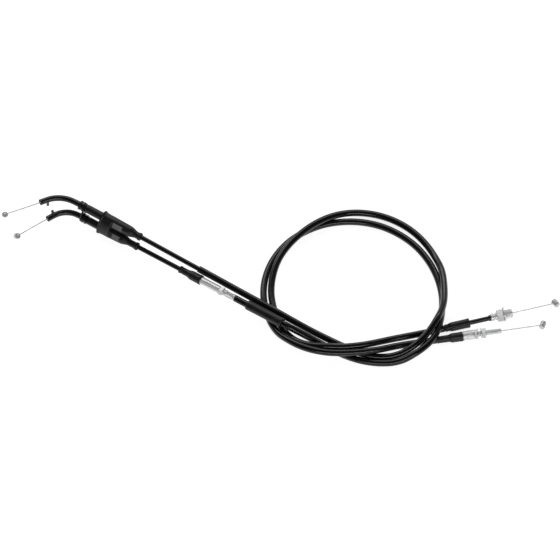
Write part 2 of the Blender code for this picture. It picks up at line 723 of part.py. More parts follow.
def make_union_nut():
    """A hexagon with a round nose, bored to turn on the ferrule."""
    start, end = UNION_NUT
    bpy.ops.mesh.primitive_cylinder_add(
        vertices=6, radius=UNION_NUT_FLATS / math.sqrt(3) * MM, depth=(end - start) * MM
    )
    nut = bpy.context.active_object
    put_on(nut, RETURN_END, (start + end) / 2)
    nose = bore_cutter(RETURN_END, end - 1.0, UNION_NOSE_END, UNION_NOSE_R, "union_nose")
    bore = bore_cutter(RETURN_END, start - 1.0, UNION_NOSE_END + 1.0, 3.7, "union_bore")
    combine(nut, nose, "UNION")
    combine(nut, bore, "DIFFERENCE")
    keep(nut, "return_union_nut", "plated_steel")


def make_return_end():
    start, end = RETURN_BOOT
    turned(
        "return_carb_boot",
        [(start, 3.6), (start + 3, 3.7), (start + 12, 4.7), (end, 4.8)],
        [(start, CONDUIT_BORE), (start + 6, CONDUIT_BORE), (start + 13, 4.0), (end, 4.1)],
        RETURN_END, "black_rubber",
    )
    ring("return_end_cap", *RETURN_CAP, 3.2, CONDUIT_BORE, RETURN_END, "black_vinyl")
    start, end = RETURN_FERRULE
    floor = RETURN_CONDUIT_END + GAP
    neck = UNION_NUT[0] - 0.4
    flare = UNION_NOSE_END + GAP
    turned(
        "return_ferrule",
        [
            (start, 4.2), (start + 3.0, 4.2), (start + 3.2, 3.4), (start + 4.6, 3.4),
            (start + 4.8, 4.3), (neck, 4.3), (neck, 3.4), (flare, 3.4), (flare, 4.2), (end, 4.2),
        ],
        [(start, CONDUIT_BORE), (floor, CONDUIT_BORE), (floor, WIRE_BORE), (end, WIRE_BORE)],
        RETURN_END, "plated_steel",
    )
    make_union_nut()
    ring("return_washer", *WASHER, WASHER_R, UNION_NOSE_R + GAP, RETURN_END, "plated_steel")
    make_carb_wire("return", RETURN_END, floor, RETURN_CARB_NIPPLE_AT, RETURN_NIPPLE_LEAN)


def make_pull_end():
    start, end = PULL_BOOT
    turned(
        "pull_carb_boot",
        [(start, 3.5), (start + 12, 3.6), (start + 15.5, 4.8), (end, 4.9)],
        [(start, CONDUIT_BORE), (start + 13, CONDUIT_BORE), (start + 16, 4.1), (end, 4.2)],
        PULL_END, "black_rubber",
    )
    start, end = STUD_BODY
    floor = PULL_CONDUIT_END + GAP
    turned(
        "pull_carb_stud",
        [
            (start - 6, 3.6), (start, 3.6), (start, STUD_BODY_R), (end, STUD_BODY_R),
            (end, ROD_R), (ROD_END, ROD_R),
        ],
        [(start - 6, CONDUIT_BORE), (floor, CONDUIT_BORE), (floor, WIRE_BORE), (ROD_END, WIRE_BORE)],
        PULL_END, "plated_steel",
    )
    bore = ROD_R + GAP
    hex_nut("pull_inner_nut", *INNER_NUT, CARB_NUT_FLATS, bore, PULL_END, "plated_steel")
    ring("pull_inner_washer", *INNER_WASHER, CARB_WASHER_R, bore, PULL_END, "plated_steel")
    ring("pull_outer_washer", *OUTER_WASHER, CARB_WASHER_R, bore, PULL_END, "plated_steel")
    hex_nut("pull_outer_nut", *OUTER_NUT, CARB_NUT_FLATS, bore, PULL_END, "plated_steel")
    make_carb_wire("pull", PULL_END, floor, PULL_CARB_NIPPLE_AT, PULL_NIPPLE_LEAN)


make_throttle_end()
make_return_cable()
make_pull_cable()
make_adjuster()
make_return_end()
make_pull_end()
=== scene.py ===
"""The looks of a coiled pair of throttle cables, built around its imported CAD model.

Lengths are in millimetres unless a name or a call says otherwise; MM turns them into metres.
Every place and most sizes are read from the frame: its nodes, its joints' axes and its record.
"""

import json
import math

import bmesh
import bpy
import numpy as np
from mathutils import Matrix, Vector


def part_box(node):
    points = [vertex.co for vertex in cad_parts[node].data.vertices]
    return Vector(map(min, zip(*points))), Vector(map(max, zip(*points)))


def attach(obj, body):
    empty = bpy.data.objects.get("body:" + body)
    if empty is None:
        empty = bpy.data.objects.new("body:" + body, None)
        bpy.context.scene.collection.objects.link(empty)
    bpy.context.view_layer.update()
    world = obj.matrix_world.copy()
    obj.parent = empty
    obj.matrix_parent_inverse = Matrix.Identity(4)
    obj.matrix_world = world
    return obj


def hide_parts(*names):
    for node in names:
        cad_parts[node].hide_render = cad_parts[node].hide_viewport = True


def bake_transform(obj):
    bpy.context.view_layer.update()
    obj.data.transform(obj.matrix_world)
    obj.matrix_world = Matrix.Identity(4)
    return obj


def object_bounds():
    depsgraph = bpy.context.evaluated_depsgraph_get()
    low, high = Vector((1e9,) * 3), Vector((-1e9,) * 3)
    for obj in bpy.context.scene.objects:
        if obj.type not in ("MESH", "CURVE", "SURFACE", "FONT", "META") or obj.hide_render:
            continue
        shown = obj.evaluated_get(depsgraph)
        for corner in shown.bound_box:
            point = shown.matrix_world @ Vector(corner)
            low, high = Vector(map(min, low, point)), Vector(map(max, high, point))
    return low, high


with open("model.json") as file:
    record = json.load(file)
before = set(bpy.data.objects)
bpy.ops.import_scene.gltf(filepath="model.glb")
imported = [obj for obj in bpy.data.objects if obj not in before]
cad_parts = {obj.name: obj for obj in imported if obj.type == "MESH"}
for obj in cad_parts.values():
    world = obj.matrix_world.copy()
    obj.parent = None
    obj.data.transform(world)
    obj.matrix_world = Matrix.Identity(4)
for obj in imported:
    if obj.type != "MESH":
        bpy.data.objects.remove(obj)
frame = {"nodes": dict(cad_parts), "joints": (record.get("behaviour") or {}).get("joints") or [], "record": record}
CAD_BOX = [list(corner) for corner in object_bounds()]

MM = 0.001
UP = Vector((0, 0, 1))
TURN = math.tau
RECORD = frame["record"]
JOINTS = {joint["name"]: joint for joint in frame["joints"]}
BODY_OF = {node: body for body, nodes in RECORD["behaviour"]["bodies"].items() for node in nodes}
SLOT_OF = {row["node"]: row["material_slot"] for row in RECORD["subparts"]}

# ---- camera ----
CAMERA_ELEVATION = 55.1
CAMERA_DISTANCE = 4200.0
VIEW_WIDTH = 560.0
VIEW_CENTRE = Vector((-1.2, 7.7, 0.0))

# ---- light and floor: brightnesses from 0 to 1, powers in watts, places and light sizes in metres ----
SKY_FRONT, SKY_BACK, TABLE_GLOW = 0.06, 0.5, 0.85
KEY_POWER, KEY_PLACE, KEY_SIZE = 9.5, (-0.2, 1.2, 1.2), (1.8, 0.5)
FILL_POWER, FILL_PLACE, FILL_SIZE = 13.0, (0.3, -1.6, 0.9), (1.8, 0.3)
FLOOR_GREY, FLOOR_GLOW = 0.6, 0.85
FLOOR_HALF = 12.0            # half its width, in metres
FLOOR_GAP = 0.2              # between it and the object

# ---- tubes ----
STRAIGHT_CHORD = 60.0        # a longer stretch between two CAD rings is a straight one
RING_EDGE = 3.6              # edges within a ring are shorter than this, edges along the tube longer
SAME_RING = 0.5
ROUTE_STEP = 1.0
TUBE_STEP = 2.5
TUBE_SIDES = 32

# ---- throttle end; distances run from the boot's mouth along its axis ----
ELBOW_R, ELBOW_BORE, PEG_R = 3.05, 2.25, 1.35
BOOT_WIDTH, BOOT_HEIGHT, BOOT_SQUARENESS = 12.0, 7.6, 2.4
BOOT_LIP = 0.4               # how far the lip stands out in front of the mouth
BOOT_BODY, BOOT_TAPER, BOOT_WALL = 12.5, 0.9, 1.2
BOOT_ROOT_R, BOOT_SLEEVE_R = 6.0, 5.5
BOOT_SLEEVE_ENDS = {"return": 31.0, "pull": 26.0}
BOOT_NARROWING = 9.5
BOOT_NECK_R, BOOT_BEAD_R = 3.5, 4.1
FERRULE_BORE, FERRULE_BORE_END = 4.55, 21.5      # wide and long enough to slide back over the ferrules
SLEEVE_BORE, NECK_BORE = 3.6, 2.7
FACET_HEIGHT, FACET_END = 5.05, 25.0             # the flat on top of each sleeve
PADS = {"return": (14.0, 25.4), "pull": (16.6, 25.8)}      # where the grip pads start and end
PAD_HALF_WIDTH, PAD_HEIGHT, PAD_THICKNESS = 2.6, 5.25, 0.6
BOOT_VOXEL = 0.34

# ---- carburettor end ----
UNION_HEX_LENGTH, UNION_NOSE_R = 6.4, 4.9
STUD_SLEEVE, STUD_BODY_END = 6.0, 17.3           # ends of the sleeve under the boot and of the body
STUD_FLUTES, STUD_FLUTE_DEPTH = 12, 0.18

# ---- metals: less than fully metallic, as their plating scatters light ----
PLATE_METALLIC, ZINC_METALLIC = 0.35, 0.4

# ---- threads and wires ----
ROD_R, ROD_PITCH, ROD_DEPTH = 2.8, 1.0, 0.22
NOSE_PITCH, NOSE_DEPTH = 1.0, 0.2
KNURLS, KNURL_DEPTH = 14, 0.16
CONDUIT_BORE = 2.75          # bore of the fittings that a conduit ends in
WIRE_R = 0.72
WIRE_TAIL = 2.5              # how far a wire reaches into its nipple
STRANDS, STRAND_LAY, STRAND_DEPTH = 6, 9.0, 0.03


# ---------------------------------------------------------------- axes and routes

class Axis:
    """A straight axis. Angles about it start at side, which is level if nothing else is asked."""

    def __init__(self, origin, direction, side=None):
        self.origin = Vector(origin)
        self.direction = Vector(direction).normalized()
        self.side = (side or UP.cross(self.direction)).normalized()
        self.up = self.direction.cross(self.side)

    def frame(self, along):
        return self.origin + self.direction * (along * MM), self.side, self.up

    def at(self, along, radius=0.0, angle=0.0):
        centre, side, up = self.frame(along)
        return centre + (side * math.cos(angle) + up * math.sin(angle)) * (radius * MM)


def joint_axis(name, side=None):
    return Axis(JOINTS[name]["pos_m"], JOINTS[name]["axis"], side)


class Route(Axis):
    """A smooth curved line through points in metres, with a frame that doesn't twist along it."""

    def __init__(self, points):
        dense = smooth_points(points)
        self.points = dense
        steps = [(b - a).length / MM for a, b in zip(dense, dense[1:])]
        self.distances = np.concatenate([[0.0], np.cumsum(steps)])
        self.length = float(self.distances[-1])
        self.sides, self.ups = [], []
        tangent = (dense[1] - dense[0]).normalized()
        side = UP.cross(tangent).normalized()
        for i, point in enumerate(dense):
            ahead = dense[min(i + 1, len(dense) - 1)] - dense[max(i - 1, 0)]
            tangent = ahead.normalized()
            side = (side - tangent * side.dot(tangent)).normalized()
            self.sides.append(side)
            self.ups.append(tangent.cross(side))

    def frame(self, along):
        along = min(max(along, 0.0), self.length)
        i = min(int(np.searchsorted(self.distances, along, "right")) - 1, len(self.points) - 2)
        share = (along - self.distances[i]) / (self.distances[i + 1] - self.distances[i])
        centre = self.points[i].lerp(self.points[i + 1], share)
        side = self.sides[i].lerp(self.sides[i + 1], share).normalized()
        up = self.ups[i].lerp(self.ups[i + 1], share).normalized()
        return centre, side, up

    def nearest(self, point):
        """Distance along the route of its point nearest to a point in metres."""
        gaps = [(p - point).length for p in self.points]
        return float(self.distances[gaps.index(min(gaps))])


def smooth_points(points):
    """Cubic stretches between the points; a long chord stays straight."""
    chords = [(b - a).length for a, b in zip(points, points[1:])]
    straight = [chord > STRAIGHT_CHORD * MM for chord in chords]
    slopes = []
    for i in range(len(points)):
        before = (points[i] - points[i - 1]) / chords[i - 1] if i > 0 else None
        after = (points[i + 1] - points[i]) / chords[i] if i < len(chords) else None
        if before is None or (after is not None and straight[i]):
            slopes.append(after)
        elif after is None or straight[i - 1]:
            slopes.append(before)
        else:
            slopes.append(before.lerp(after, chords[i - 1] / (chords[i - 1] + chords[i])))
    dense = [points[0]]
    for i, chord in enumerate(chords):
        count = max(2, round(chord / (ROUTE_STEP * MM)))
        for step in range(1, count + 1):
            t = step / count
            if straight[i]:
                dense.append(points[i].lerp(points[i + 1], t))
                continue
            dense.append(
                points[i] * (2 * t**3 - 3 * t**2 + 1)
                + slopes[i] * chord * (t**3 - 2 * t**2 + t)
                + points[i + 1] * (3 * t**2 - 2 * t**3)
                + slopes[i + 1] * chord * (t**3 - t**2)
            )
    return dense


def ring_centres(node):
    """Centres of the rings that a CAD tube is made of, in order from its -X end."""
    shape = bmesh.new()
    shape.from_mesh(frame["nodes"][node].data)
    bmesh.ops.remove_doubles(shape, verts=shape.verts[:], dist=1e-6)
    shape.verts.index_update()
    group = list(range(len(shape.verts)))

    def leader(i):
        while group[i] != i:
            i = group[i]
        return i

    long_edges = []
    for edge in shape.edges:
        a, b = edge.verts
        if edge.calc_length() < RING_EDGE * MM:
            group[leader(a.index)] = leader(b.index)
        else:
            long_edges.append((a.index, b.index))
    rings = {}
    for vert in shape.verts:
        rings.setdefault(leader(vert.index), []).append(vert.co.copy())
    shape.free()
    # the tube's outer and inner ring at one place share a centre, and count as one
    centres, place_of = [], {}
    for ring, verts in rings.items():
        centre = sum(verts, Vector()) / len(verts)
        near = [i for i, known in enumerate(centres) if (known - centre).length < SAME_RING * MM]
        place_of[ring] = near[0] if near else len(centres)
        if not near:
            centres.append(centre)
    neighbours = [set() for _ in centres]
    for a, b in long_edges:
        a, b = place_of[leader(a)], place_of[leader(b)]
        if a != b:
            neighbours[a].add(b)
            neighbours[b].add(a)
    ends = [i for i, others in enumerate(neighbours) if len(others) == 1]
    here, before = min(ends, key=lambda i: centres[i].x), None
    order = []
    while here is not None:
        order.append(centres[here])
        onward = [i for i in neighbours[here] if i != before]
        here, before = (onward[0] if onward else None), here
    return order


def measure(node, axis):
    """Start, end, outer radius and bore radius of a CAD node about an axis."""
    verts = [vert.co - axis.origin for vert in frame["nodes"][node].data.vertices]
    along = [co.dot(axis.direction) / MM for co in verts]
    radii = [(co - axis.direction * co.dot(axis.direction)).length / MM for co in verts]
    return min(along), max(along), max(radii), min(radii)


BOOTS_ACROSS = joint_axis("return_elbow_swivel").origin - joint_axis("pull_elbow_swivel").origin
RETURN_BOOT_AXIS = joint_axis("return_elbow_swivel", BOOTS_ACROSS)
PULL_BOOT_AXIS = joint_axis("pull_elbow_swivel", BOOTS_ACROSS)
BOOT_AXIS = Axis(PULL_BOOT_AXIS.origin + BOOTS_ACROSS / 2, PULL_BOOT_AXIS.direction, BOOTS_ACROSS)
TAIL_AXIS = joint_axis("barrel_turn")
RETURN_END_AXIS = joint_axis("union_nut_turn")
PULL_END_AXIS = joint_axis("inner_nut_turn")


# ---------------------------------------------------------------- materials

def new_material(name):
    """A Principled material, its node tree, its shader and the piece's own coordinates in metres."""
    material = bpy.data.materials.new(name)
    material.use_nodes = True
    tree = material.node_tree
    shader = tree.nodes["Principled BSDF"]
    place = tree.nodes.new("ShaderNodeTexCoord")
    return material, tree, shader, place.outputs["Object"]


def noise_node(tree, place, size, detail=4.0, roughness=0.55):
    """Noise whose features are about size millimetres across."""
    node = tree.nodes.new("ShaderNodeTexNoise")
    node.inputs["Scale"].default_value = 1.0 / (size * MM)
    node.inputs["Detail"].default_value = detail
    node.inputs["Roughness"].default_value = roughness
    tree.links.new(place, node.inputs["Vector"])
    return node.outputs["Fac"]


def ramp(tree, value, low, high, low_colour, high_colour):
    """Turns a 0 to 1 value into a blend of two colours (or greys) between low and high."""
    node = tree.nodes.new("ShaderNodeValToRGB")
    node.color_ramp.elements[0].position = low
    node.color_ramp.elements[1].position = high
    node.color_ramp.elements[0].color = (*low_colour, 1.0)
    node.color_ramp.elements[1].color = (*high_colour, 1.0)
    tree.links.new(value, node.inputs["Fac"])
    return node.outputs["Color"]


def grey(value):
    return (value, value, value)


def add_bump(tree, shader, height, depth, normal=None):
    """Bump of about depth millimetres; a second call stacks on the first one's normal."""
    node = tree.nodes.new("ShaderNodeBump")
    node.inputs["Distance"].default_value = depth * MM
    node.inputs["Strength"].default_value = 1.0
    tree.links.new(height, node.inputs["Height"])
    if normal is not None:
        tree.links.new(normal, node.inputs["Normal"])
    tree.links.new(node.outputs["Normal"], shader.inputs["Normal"])
    return node.outputs["Normal"]


def black_vinyl():
    """Glossy extruded vinyl: slow waves in the surface, faint scuffs that dull it."""
    material, tree, shader, place = new_material("black_vinyl_fine")
    tone = noise_node(tree, place, 9.0)
    colour = ramp(tree, tone, 0.35, 0.7, grey(0.002), grey(0.004))
    tree.links.new(colour, shader.inputs["Base Color"])
    scuff = noise_node(tree, place, 4.0, detail=5.0)
    tree.links.new(ramp(tree, scuff, 0.5, 0.78, grey(0.2), grey(0.3)), shader.inputs["Roughness"])
    wave = noise_node(tree, place, 18.0, detail=1.0)
    add_bump(tree, shader, wave, 0.12)
    shader.inputs["Specular IOR Level"].default_value = 0.42
    return material


def black_rubber():
    """Moulded rubber: fine grain, slightly cloudy sheen, a trace of dust."""
    material, tree, shader, place = new_material("black_rubber_fine")
    cloud = noise_node(tree, place, 5.0, detail=6.0)
    colour = ramp(tree, cloud, 0.4, 0.75, grey(0.005), grey(0.009))
    tree.links.new(colour, shader.inputs["Base Color"])
    tree.links.new(ramp(tree, cloud, 0.3, 0.7, grey(0.36), grey(0.48)), shader.inputs["Roughness"])
    grain = noise_node(tree, place, 0.28, detail=4.0, roughness=0.6)
    normal = add_bump(tree, shader, grain, 0.004)
    dent = noise_node(tree, place, 9.0, detail=1.0)
    add_bump(tree, shader, dent, 0.15, normal=normal)
    shader.inputs["Specular IOR Level"].default_value = 0.4
    return material


def painted_glint_rubber():
    """The same rubber in a lighter grey: a painted reflection, for the light that the flat facets catch."""
    material, tree, shader, place = new_material("painted_glint_rubber_fine")
    cloud = noise_node(tree, place, 3.0, detail=6.0)
    # lighter grey than the boot's rubber: painted reflection, standing in for the light that the flat facets catch
    tree.links.new(ramp(tree, cloud, 0.35, 0.7, grey(0.11), grey(0.15)), shader.inputs["Base Color"])
    shader.inputs["Roughness"].default_value = 0.5
    grain = noise_node(tree, place, 0.28, detail=4.0, roughness=0.6)
    add_bump(tree, shader, grain, 0.004)
    return material


def black_paint():
    """Black paint on steel: slight orange peel, and a few worn specks of bare metal."""
    material, tree, shader, place = new_material("black_paint_fine")
    speck = noise_node(tree, place, 0.8, detail=8.0, roughness=0.75)
    worn = ramp(tree, speck, 0.74, 0.77, grey(0.003), grey(0.12))
    tree.links.new(worn, shader.inputs["Base Color"])
    cloud = noise_node(tree, place, 3.0)
    tree.links.new(ramp(tree, cloud, 0.3, 0.7, grey(0.22), grey(0.3)), shader.inputs["Roughness"])
    peel = noise_node(tree, place, 1.6, detail=2.0)
    add_bump(tree, shader, peel, 0.006)
    shader.inputs["Specular IOR Level"].default_value = 0.5
    return material


def plated_steel():
    """Bright zinc plate: cool and slightly cloudy, with fine machining marks."""
    material, tree, shader, place = new_material("plated_steel_fine")
    cloud = noise_node(tree, place, 2.5, detail=5.0)
    colour = ramp(tree, cloud, 0.35, 0.7, (0.72, 0.725, 0.73), (0.83, 0.83, 0.835))
    tree.links.new(colour, shader.inputs["Base Color"])
    tree.links.new(ramp(tree, cloud, 0.3, 0.75, grey(0.3), grey(0.4)), shader.inputs["Roughness"])
    marks = noise_node(tree, place, 0.3, detail=2.0)
    add_bump(tree, shader, marks, 0.003)
    shader.inputs["Metallic"].default_value = PLATE_METALLIC
    return material


def nipple_zinc():
    """Die-cast zinc: dull and grainy."""
    material, tree, shader, place = new_material("nipple_zinc_fine")
    pore = noise_node(tree, place, 0.9, detail=5.0, roughness=0.6)
    colour = ramp(tree, pore, 0.35, 0.65, (0.5, 0.495, 0.49), (0.68, 0.675, 0.67))
    tree.links.new(colour, shader.inputs["Base Color"])
    tree.links.new(ramp(tree, pore, 0.3, 0.7, grey(0.46), grey(0.34)), shader.inputs["Roughness"])
    add_bump(tree, shader, pore, 0.02)
    shader.inputs["Metallic"].default_value = ZINC_METALLIC
    return material


def steel_wire():
    """Drawn steel strands, a little cloudy from handling."""
    material, tree, shader, place = new_material("steel_wire_fine")
    cloud = noise_node(tree, place, 6.0, detail=3.0)
    colour = ramp(tree, cloud, 0.35, 0.65, (0.76, 0.755, 0.75), (0.86, 0.855, 0.85))
    tree.links.new(colour, shader.inputs["Base Color"])
    shader.inputs["Roughness"].default_value = 0.45
    shader.inputs["Metallic"].default_value = ZINC_METALLIC
    return material


def liner_plastic():
    """White low-friction plastic, a little translucent."""
    material, tree, shader, place = new_material("liner_plastic_fine")
    cloud = noise_node(tree, place, 4.0)
    colour = ramp(tree, cloud, 0.3, 0.7, (0.78, 0.78, 0.74), (0.88, 0.88, 0.85))
    tree.links.new(colour, shader.inputs["Base Color"])
    shader.inputs["Roughness"].default_value = 0.35
    shader.inputs["Subsurface Weight"].default_value = 0.2
    shader.inputs["Subsurface Scale"].default_value = MM
    return material


MATERIALS = {
    "black_vinyl": black_vinyl(),
    "black_rubber": black_rubber(),
    "painted_glint_rubber": painted_glint_rubber(),
    "black_paint": black_paint(),
    "plated_steel": plated_steel(),
    "nipple_zinc": nipple_zinc(),
    "steel_wire": steel_wire(),
    "liner_plastic": liner_plastic(),
}


# ---------------------------------------------------------------- making pieces

def mesh_object(name, verts, faces):
    mesh = bpy.data.meshes.new(name)
    mesh.from_pydata(verts, [], faces)
    shape = bmesh.new()
    shape.from_mesh(mesh)
    bmesh.ops.recalc_face_normals(shape, faces=shape.faces[:])
    shape.to_mesh(mesh)
    shape.free()
    obj = bpy.data.objects.new(name, mesh)
    bpy.context.scene.collection.objects.link(obj)
    return obj


def revolve(name, path, outline, shape=None, sides=TUBE_SIDES):
    """A closed body around a path. outline is a closed loop of (distance, radius) pairs.

    shape(angle, along, radius) may change a radius; a radius of zero closes the body on its path.
    """
    verts, rings = [], []
    for along, radius in outline:
        centre, side, up = path.frame(along)
        if radius == 0.0:
            rings.append([len(verts)])
            verts.append(centre)
            continue
        rings.append(list(range(len(verts), len(verts) + sides)))
        for i in range(sides):
            angle = TURN * i / sides
            r = shape(angle, along, radius) if shape else radius
            verts.append(centre + (side * math.cos(angle) + up * math.sin(angle)) * (r * MM))
    faces = []
    for a, b in zip(rings, rings[1:] + rings[:1]):
        for i in range(sides):
            j = (i + 1) % sides
            if len(a) > 1 and len(b) > 1:
                faces.append((a[i], a[j], b[j], b[i]))
            elif len(b) > 1:
                faces.append((a[0], b[j], b[i]))
            elif len(a) > 1:
                faces.append((a[i], a[j], b[0]))
    return mesh_object(name, verts, faces)


def smooth(obj, angle=35.0, bevel=0.0):
    """Shades a piece smooth, with small rounded edges where bevel is given."""
    obj.data.shade_smooth()
    if not bevel:
        obj.data.set_sharp_from_angle(angle=math.radians(angle))
        return obj
    modifier = obj.modifiers.new("rounded_edges", "BEVEL")
    modifier.width = bevel * MM
    modifier.segments = 2
    modifier.limit_method = "ANGLE"
    modifier.angle_limit = math.radians(angle)
    modifier.harden_normals = True
    return obj


def put(obj, node):
    """Gives a piece its material and lets it stand for a CAD node."""
    slot = SLOT_OF[node]
    obj.data.materials.clear()
    obj.data.materials.append(MATERIALS[slot])
    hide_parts(node)
    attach(obj, BODY_OF[node])
    return obj


def ease_steps(count):
    """Even steps up to 1, each with a share that goes from 0 to 1 with a slow start and end."""
    steps = [i / count for i in range(1, count + 1)]
    return [(t, t * t * (3 - 2 * t)) for t in steps]


def stations(start, end, step):
    count = max(1, math.ceil(abs(end - start) / step))
    return [start + (end - start) * i / count for i in range(count + 1)]


def hollow(outer, start, end, bore):
    """Closes an outer outline with a plain bore."""
    return outer + [(end, bore), (start, bore)]


def thread(start, end, radius, pitch):
    """Close stations along a threaded stretch."""
    return [(along, radius) for along in stations(start, end, pitch / 8)]


def thread_shape(start, end, radius, pitch, depth):
    """Cuts a helical groove into the stretch's surface, fading out at both ends."""

    def shape(angle, along, r):
        if abs(r - radius) > 1e-6 or not start <= along <= end:
            return r
        phase = (along / pitch - angle / TURN) % 1.0
        groove = min(1.0, 1.35 * (1.0 - abs(2.0 * phase - 1.0)))
        fade = min(1.0, (along - start) / pitch, (end - along) / pitch)
        return r - depth * groove * max(0.0, fade)

    return shape


def hexagon(flats):
    """Limits a radius to a hexagon of the given width across flats."""

    def shape(angle, along, r):
        return min(r, flats / 2 / math.cos(angle % (TURN / 6) - TURN / 12))

    return shape


def nut_outline(start, end, flats):
    """Outer outline of a nut, with its corners chamfered at both ends."""
    corner = flats / math.sqrt(3)
    flat = flats / 2 * 0.97
    height = (corner - flat) * math.tan(math.radians(30))
    points = [(start, flat)]
    points += [(start + height * t, flat + (corner - flat) * t) for t in (0.25, 0.5, 0.75, 1.0)]
    points += [(end - height * t, flat + (corner - flat) * t) for t in (1.0, 0.75, 0.5, 0.25)]
    return points + [(end, flat)]


def make_nut(node, axis):
    start, end, corner, bore = measure(node, axis)
    flats = corner * math.sqrt(3)
    outline = nut_outline(start, end, flats)
    outline += [(end, bore + 0.4), (end - 0.4, bore), (start + 0.4, bore), (start, bore + 0.4)]
    obj = revolve("fine_" + node, axis, outline, hexagon(flats), sides=96)
    put(smooth(obj, angle=25), node)


def make_washer(node, axis):
    start, end, radius, bore = measure(node, axis)
    outline = hollow([(start, radius), (end, radius)], start, end, bore)
    put(smooth(revolve("fine_" + node, axis, outline, sides=64), bevel=0.15), node)


# ---------------------------------------------------------------- cables

def make_tube(node, rim=0.25):
    """A smooth hollow tube along a CAD tube's centre-line, with softened cut ends."""
    centres = ring_centres(node)
    route = Route(centres)
    first = Axis(centres[0], centres[1] - centres[0])
    probe = [v.co - centres[0] for v in frame["nodes"][node].data.vertices]
    first_ring = [p for p in probe if abs(p.dot(first.direction)) < 0.05 * MM and p.length < RING_EDGE * MM]
    radii = [p.length / MM for p in first_ring]
    radius, bore = max(radii), min(radii)
    length = route.length
    outer = [(0.0, radius - rim), (rim * 0.4, radius - rim * 0.3), (rim, radius)]
    outer += [(along, radius) for along in stations(TUBE_STEP, length - TUBE_STEP, TUBE_STEP)]
    outer += [(length - rim, radius), (length - rim * 0.4, radius - rim * 0.3), (length, radius - rim)]
    inner = [(along, bore) for along in stations(length, 0.0, TUBE_STEP * 2)]
    put(smooth(revolve("fine_" + node, route, outer + inner)), node)


def strand_shape(angle, along, radius):
    """Outline of a six-strand wire that twists as it goes."""
    if radius < 0.5:
        return radius
    turn = STRANDS * (angle - TURN * along / (STRAND_LAY * STRANDS))
    return radius - STRAND_DEPTH * (1.0 - abs(math.cos(turn / 2)))


def make_wire(side, place, mouth_distance=None):
    """The bare end of an inner wire, which stretches between its fitting and its nipple."""
    node = f"{side}_{place}_wire"
    centres = ring_centres(node)
    nipple = node_centre(f"{side}_{place}_nipple")
    if (centres[0] - nipple).length < (centres[-1] - nipple).length:
        centres.reverse()
    free = (centres[-1] - centres[-2]).normalized()
    centres[-1] = centres[-1] + free * (WIRE_TAIL * MM)
    route = Route(centres)
    start = route.nearest(centres[-2]) if len(centres) > 2 else mouth_distance
    end = route.length
    outline = [(0.0, 0.0), (0.0, WIRE_R)]
    outline += [(along, WIRE_R) for along in stations(0.4, end - 0.4, 0.4)]
    outline += [(end, WIRE_R), (end, 0.0)]
    obj = smooth(revolve("fine_" + node, route, outline, strand_shape, sides=24), angle=60)
    obj.data.materials.append(MATERIALS["steel_wire"])
    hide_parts(node)
    route.frame(start + 0.5)[0]
    route.frame(end - 3.5)[0]
    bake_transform(obj)


def node_centre(node):
    low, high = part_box(node)
    return (low + high) / 2


def nipple_axis(node):
    """Axis of a barrel nipple: through its flat end face, as the record's mount gives it."""
    mount = next(m for m in RECORD["mounts"] if m["name"] == node + "_end_face")
    return Axis(node_centre(node), mount["axis"])


def make_nipple(node):
    """A cast barrel with rounded rims and a shallow parting ridge."""
    axis = nipple_axis(node)
    start, end, radius, _ = measure(node, axis)
    radius = radius * 0.995
    dish = 0.2
    outline = [
        (start + dish, 0.0), (start + dish, radius * 0.45), (start, radius * 0.6), (start, radius - 0.35),
        (start + 0.12, radius - 0.1), (start + 0.4, radius), (end - 0.4, radius),
        (end - 0.12, radius - 0.1), (end, radius - 0.35), (end, radius * 0.6),
        (end - dish, radius * 0.45), (end - dish, 0.0),
    ]

    def parting(angle, along, r):
        return r + 0.07 * math.exp(-((angle - TURN / 4) / 0.06) ** 2) if r > radius * 0.9 else r

    put(smooth(revolve("fine_" + node, axis, outline, parting, sides=96), angle=40), node)


# ---------------------------------------------------------------- throttle end

def elbow_route(side):
    """An elbow's centre-line, mouth first: its wire's line, without the free stretch."""
    centres = ring_centres(f"{side}_throttle_wire")
    nipple = node_centre(f"{side}_throttle_nipple")
    if (centres[0] - nipple).length > (centres[-1] - nipple).length:
        centres.reverse()
    return Route(centres[1:])


def make_elbow(side):
    node = f"{side}_elbow"
    route = elbow_route(side)
    axis = joint_axis(f"{side}_elbow_swivel")
    _, elbow_end, _, _ = measure(node, axis)
    tail = (axis.at(elbow_end) - route.frame(route.length)[0]).dot(axis.direction) / MM
    length = route.length + min(tail, 0.0)
    outer = [(0.0, ELBOW_R - 0.2), (0.1, ELBOW_R), (1.0, ELBOW_R + 0.1), (1.4, ELBOW_R)]
    outer += [(along, ELBOW_R) for along in stations(2.0, length, 1.0)]
    inner = [(along, ELBOW_BORE) for along in stations(length, 0.8, 1.5)] + [(0.0, ELBOW_R - 0.5)]
    put(smooth(revolve("fine_" + node, route, outer + inner), angle=50), node)
    make_peg(node, route)


def make_peg(node, route):
    """The peg that stops an elbow turning, out to where its CAD solid ends."""
    verts = [vert.co for vert in frame["nodes"][node].data.vertices]
    reach = max(verts, key=lambda co: min((co - p).length for p in route.points))
    reach_r = min((reach - p).length for p in route.points)
    tip = [co for co in verts if min((co - p).length for p in route.points) > reach_r - 0.6 * MM]
    tip = sum(tip, Vector()) / len(tip)
    base = route.frame(route.nearest(tip))[0]
    axis = Axis(base, tip - base)
    end = (tip - base).length / MM
    root = ELBOW_R - 0.6
    outline = [
        (root, 0.0), (root, PEG_R + 0.7), (root + 0.7, PEG_R + 0.4), (root + 1.2, PEG_R + 0.1),
        (root + 1.8, PEG_R), (end - 0.4, PEG_R), (end - 0.1, PEG_R - 0.25), (end, PEG_R - 0.6), (end, 0.0),
    ]
    obj = smooth(revolve(f"fine_{node}_peg", axis, outline, sides=24), angle=50)
    obj.data.materials.append(MATERIALS["black_paint"])
    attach(obj, BODY_OF[node])


